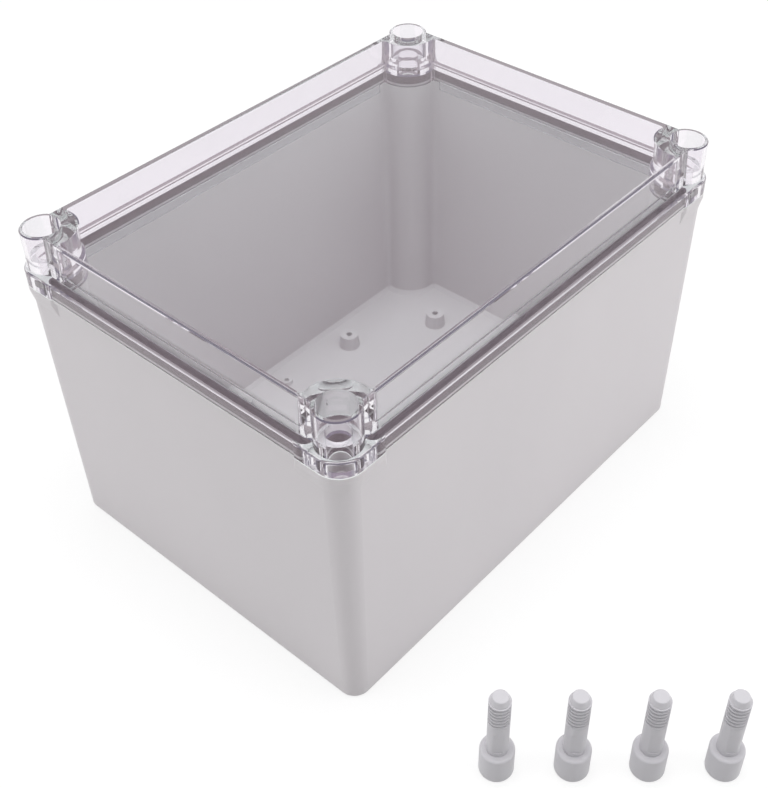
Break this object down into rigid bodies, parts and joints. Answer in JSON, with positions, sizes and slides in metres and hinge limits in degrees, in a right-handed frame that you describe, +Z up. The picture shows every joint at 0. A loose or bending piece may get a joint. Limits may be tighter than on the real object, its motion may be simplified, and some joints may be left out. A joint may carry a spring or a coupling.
{
  "type": "junction box",
  "caption": "Deep surface-mounting junction box with a clear screw-down lid, a seal in the lid's rim and loose plastic lid screws.",
  "frame": {"origin": "middle of the base's flat underside", "axes": "+X along the long side, +Y along the short side, +Z up out of the lid"},
  "size_m": [0.2, 0.259, 0.13],
  "materials": {
    "housing": "light warm-grey moulded ABS, fine satin texture",
    "clear_lid": "clear moulded polycarbonate with a faint tint, polished",
    "seal": "dark soft foamed seal",
    "screw": "mid-grey moulded plastic, satin"
  },
  "bodies": {
    "box": {"base": "housing", "lid_screw_1": "screw", "lid_screw_2": "screw", "lid_screw_3": "screw", "lid_screw_4": "screw"},
    "lid": {"lid": "clear_lid", "gasket": "seal"}
  },
  "joints": [
    {"name": "lid_lift", "type": "slide", "parent": "box", "child": "lid", "axis": [0, 0, 1], "range_m": [0, 0.12]}
  ]
}
